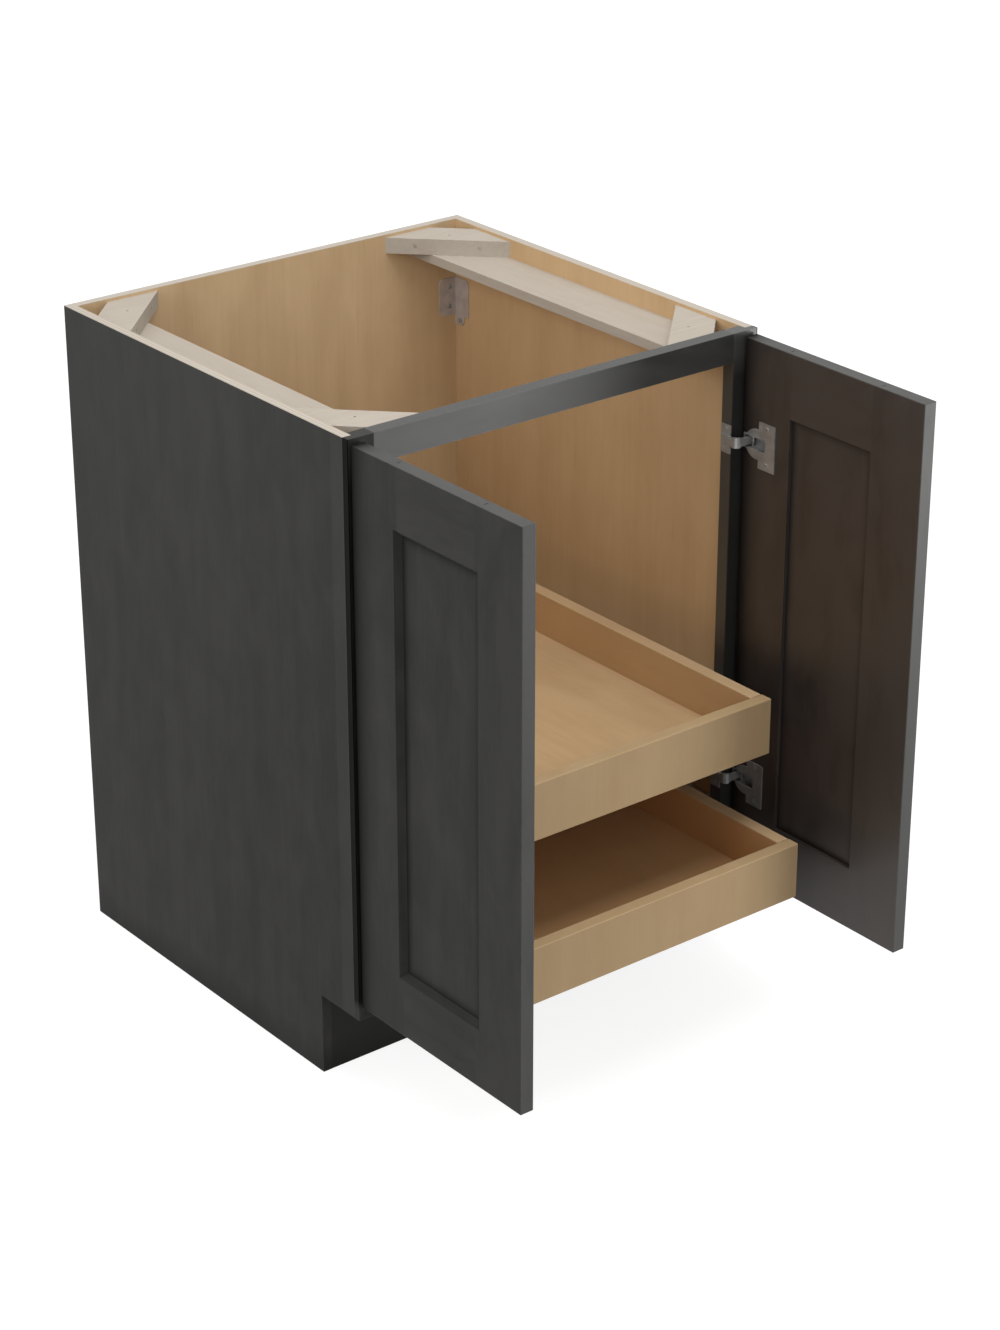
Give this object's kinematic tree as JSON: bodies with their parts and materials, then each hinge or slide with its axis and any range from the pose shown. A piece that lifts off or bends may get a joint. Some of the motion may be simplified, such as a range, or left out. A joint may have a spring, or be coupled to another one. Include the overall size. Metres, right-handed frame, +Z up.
{
  "type": "base cabinet with rollout shelves",
  "caption": "Freestanding kitchen base cabinet with a face frame, swing-out framed doors on cup hinges, and shallow rollout trays on side runners, open at the top for a worktop.",
  "frame": {"origin": "on the floor at mid-width, in the plane of the back face that stands against the wall", "axes": "+X to the right as seen from the front, +Y to the wall behind, +Z up; the doors open towards -Y"},
  "size_m": [0.63, 0.9231, 0.8763],
  "materials": {
    "stained_side_ply": "charcoal stain outside, clear maple inside",
    "stained_toe_board": "charcoal stain",
    "stained_frame_wood": "charcoal stain, satin",
    "stained_door_wood": "charcoal stain, satin",
    "stained_door_panel": "charcoal stain, satin",
    "maple_ply": "clear satin lacquer",
    "tray_maple": "clear satin lacquer",
    "tray_bottom_ply": "clear satin lacquer",
    "raw_wood": "bare sawn wood",
    "nail_steel": "bright steel",
    "screw_steel": "zinc plated",
    "bracket_steel": "dull nickel plate",
    "hinge_nickel": "dull nickel plate",
    "pin_steel": "bright steel",
    "runner_zinc": "zinc plated"
  },
  "bodies": {
    "carcase": {"left_side_panel": "stained_side_ply", "right_side_panel": "stained_side_ply", "back_panel": "maple_ply", "floor_panel": "maple_ply", "toe_board": "stained_toe_board", "left_stile": "stained_frame_wood", "right_stile": "stained_frame_wood", "top_rail": "stained_frame_wood", "bottom_rail": "stained_frame_wood", "left_side_rail": "raw_wood", "right_side_rail": "raw_wood", "left_front_block": "raw_wood", "right_front_block": "raw_wood", "left_back_block": "raw_wood", "right_back_block": "raw_wood", "block_nails": "nail_steel", "corner_brackets": "bracket_steel", "bracket_screws": "screw_steel", "left_hinge_arms": "hinge_nickel", "right_hinge_arms": "hinge_nickel", "hinge_arm_screws": "screw_steel", "upper_cabinet_runners": "runner_zinc", "lower_cabinet_runners": "runner_zinc", "upper_runner_cleats": "raw_wood", "lower_runner_cleats": "raw_wood", "runner_screws": "screw_steel"},
    "left_door": {"left_door_hinge_stile": "stained_door_wood", "left_door_meeting_stile": "stained_door_wood", "left_door_top_rail": "stained_door_wood", "left_door_bottom_rail": "stained_door_wood", "left_door_panel": "stained_door_panel", "left_hinge_cups": "hinge_nickel", "left_hinge_pins": "pin_steel", "left_cup_screws": "screw_steel"},
    "right_door": {"right_door_hinge_stile": "stained_door_wood", "right_door_meeting_stile": "stained_door_wood", "right_door_top_rail": "stained_door_wood", "right_door_bottom_rail": "stained_door_wood", "right_door_panel": "stained_door_panel", "right_hinge_cups": "hinge_nickel", "right_hinge_pins": "pin_steel", "right_cup_screws": "screw_steel"},
    "upper_tray": {"upper_tray_front": "tray_maple", "upper_tray_back": "tray_maple", "upper_tray_left_side": "tray_maple", "upper_tray_right_side": "tray_maple", "upper_tray_bottom": "tray_bottom_ply", "upper_tray_runners": "runner_zinc", "upper_tray_screws": "screw_steel"},
    "lower_tray": {"lower_tray_front": "tray_maple", "lower_tray_back": "tray_maple", "lower_tray_left_side": "tray_maple", "lower_tray_right_side": "tray_maple", "lower_tray_bottom": "tray_bottom_ply", "lower_tray_runners": "runner_zinc", "lower_tray_screws": "screw_steel"},
    "upper_middle_slides": {"upper_middle_runners": "runner_zinc"},
    "lower_middle_slides": {"lower_middle_runners": "runner_zinc"}
  },
  "joints": [
    {"name": "left_door_swing", "type": "hinge", "parent": "carcase", "child": "left_door", "pos_m": [-0.302, -0.6226, 0.7358], "axis": [0, 0, -1], "range_deg": [-90, 15]},
    {"name": "right_door_swing", "type": "hinge", "parent": "carcase", "child": "right_door", "pos_m": [0.302, -0.6226, 0.7358], "axis": [0, 0, 1], "range_deg": [-90, 15]},
    {"name": "upper_tray_slide", "type": "slide", "parent": "carcase", "child": "upper_tray", "axis": [0, -1, 0], "range_m": [-0.21341, 0.03558]},
    {"name": "upper_middle_runner_slide", "type": "slide", "parent": "carcase", "child": "upper_middle_slides", "axis": [0, -1, 0], "range_m": [-0.10671, 0.0178]},
    {"name": "lower_tray_slide", "type": "slide", "parent": "carcase", "child": "lower_tray", "axis": [0, -1, 0], "range_m": [-0.27292, 0.0455]},
    {"name": "lower_middle_runner_slide", "type": "slide", "parent": "carcase", "child": "lower_middle_slides", "axis": [0, -1, 0], "range_m": [-0.13647, 0.02276]}
  ],
  "couplings": [
    {"joint": "right_door_swing", "follows": "left_door_swing", "ratio": 1},
    {"joint": "upper_tray_slide", "follows": "left_door_swing", "m_per_rad": 0.13586},
    {"joint": "upper_middle_runner_slide", "follows": "left_door_swing", "m_per_rad": 0.067927},
    {"joint": "lower_tray_slide", "follows": "left_door_swing", "m_per_rad": 0.17373},
    {"joint": "lower_middle_runner_slide", "follows": "left_door_swing", "m_per_rad": 0.086867}
  ]
}
